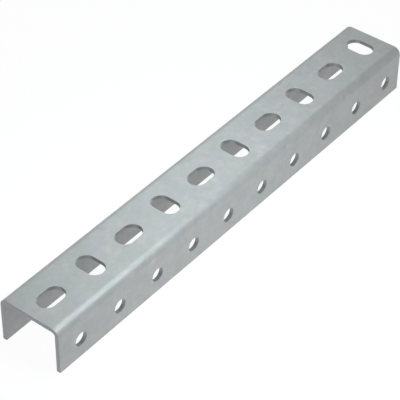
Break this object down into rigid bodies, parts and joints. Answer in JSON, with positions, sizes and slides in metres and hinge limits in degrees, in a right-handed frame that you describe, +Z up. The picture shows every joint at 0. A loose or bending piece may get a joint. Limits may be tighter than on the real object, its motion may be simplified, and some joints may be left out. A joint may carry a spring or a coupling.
{
  "type": "strut channel",
  "caption": "Straight U channel folded from galvanised steel sheet, with slots turned in alternate directions along its web and round bolt holes along both flanges.",
  "frame": {"origin": "midway along the channel and midway between its flanges, on the floor that the flange edges stand on", "axes": "+X along the channel, +Y across it from the front flange to the back one, +Z up from the flange edges to the web"},
  "size_m": [0.3, 0.039, 0.0288],
  "materials": {
    "galvanised_steel": "hot-dip galvanised sheet: matt, pale grey and faintly mottled"
  },
  "bodies": {
    "root": {"strut_channel": "galvanised_steel"}
  },
  "joints": []
}
